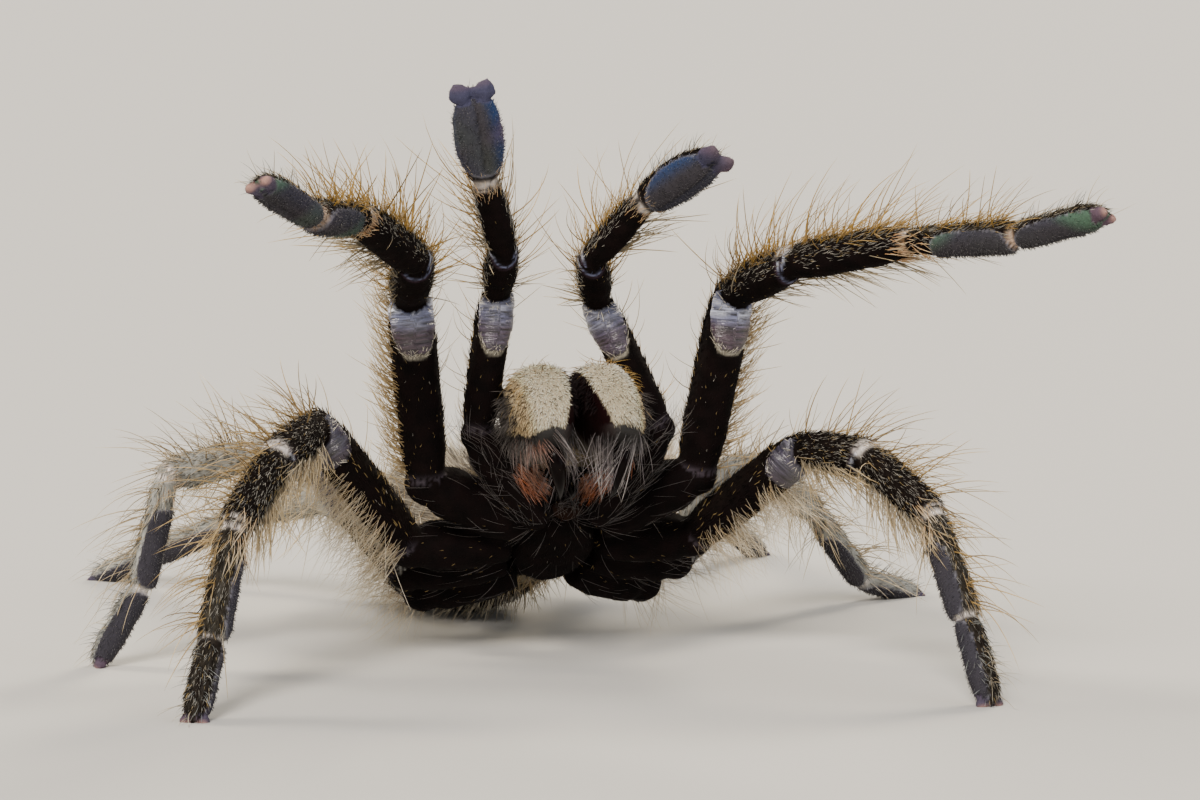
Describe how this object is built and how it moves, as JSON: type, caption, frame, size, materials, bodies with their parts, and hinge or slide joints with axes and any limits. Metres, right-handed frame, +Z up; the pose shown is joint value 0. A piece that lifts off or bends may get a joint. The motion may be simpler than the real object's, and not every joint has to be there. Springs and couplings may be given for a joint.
{
  "type": "tarantula model",
  "caption": "Life-size still model of a tarantula in its threat pose: front body reared, palps and first legs raised, standing on its other legs and hind body.",
  "frame": {"origin": "middle of the whole animal seen from above, on the floor that it stands on", "axes": "+Z up, head towards -Y, the animal's left side at +X"},
  "size_m": [0.0796, 0.0908, 0.0482],
  "materials": {
    "black_velvet": "near-black velvet of very short hairs",
    "olive_coat": "short olive-brown coat with paler hairs",
    "grey_coat": "short grey-brown coat with pale hairs",
    "scopula": "slate-grey velvet pads with a faint sheen",
    "cream_pile": "dense short cream pile",
    "tan_plate": "bare tan-brown plate",
    "fang_horn": "polished black horn",
    "eye_lens": "glossy dark lens",
    "joint_membrane": "soft wrinkled lilac-grey joint skin",
    "golden_bristle": "long golden-buff bristles with pale tips",
    "orange_fringe": "orange-red mouth fringe",
    "pale_hair": "pale buff to silver-grey hairs"
  },
  "bodies": {
    "root": {"abdomen": "grey_coat", "carapace": "olive_coat", "chelicera_left": "cream_pile", "chelicera_right": "cream_pile", "eye_front_lateral_left": "eye_lens", "eye_front_lateral_right": "eye_lens", "eye_front_median_left": "eye_lens", "eye_front_median_right": "eye_lens", "eye_rear_lateral_left": "eye_lens", "eye_rear_lateral_right": "eye_lens", "eye_rear_median_left": "eye_lens", "eye_rear_median_right": "eye_lens", "fang_left": "fang_horn", "fang_right": "fang_horn", "labium": "tan_plate", "leg1_femur_left": "black_velvet", "leg1_femur_right": "black_velvet", "leg1_foot_left": "scopula", "leg1_foot_right": "scopula", "leg1_hip_left": "black_velvet", "leg1_hip_right": "black_velvet", "leg1_shank_left": "olive_coat", "leg1_shank_right": "olive_coat", "leg2_femur_left": "black_velvet", "leg2_femur_right": "black_velvet", "leg2_foot_left": "scopula", "leg2_foot_right": "scopula", "leg2_hip_left": "black_velvet", "leg2_hip_right": "black_velvet", "leg2_shank_left": "olive_coat", "leg2_shank_right": "olive_coat", "leg3_femur_left": "black_velvet", "leg3_femur_right": "black_velvet", "leg3_foot_left": "scopula", "leg3_foot_right": "scopula", "leg3_hip_left": "black_velvet", "leg3_hip_right": "black_velvet", "leg3_shank_left": "olive_coat", "leg3_shank_right": "olive_coat", "leg4_femur_left": "black_velvet", "leg4_femur_right": "black_velvet", "leg4_foot_left": "scopula", "leg4_foot_right": "scopula", "leg4_hip_left": "black_velvet", "leg4_hip_right": "black_velvet", "leg4_shank_left": "olive_coat", "leg4_shank_right": "olive_coat", "palp_femur_left": "black_velvet", "palp_femur_right": "black_velvet", "palp_foot_left": "scopula", "palp_foot_right": "scopula", "palp_hip_left": "black_velvet", "palp_hip_right": "black_velvet", "palp_shank_left": "olive_coat", "palp_shank_right": "olive_coat", "pedicel": "olive_coat", "spinneret_left": "grey_coat", "spinneret_right": "grey_coat", "sternum": "black_velvet"}
  },
  "joints": []
}
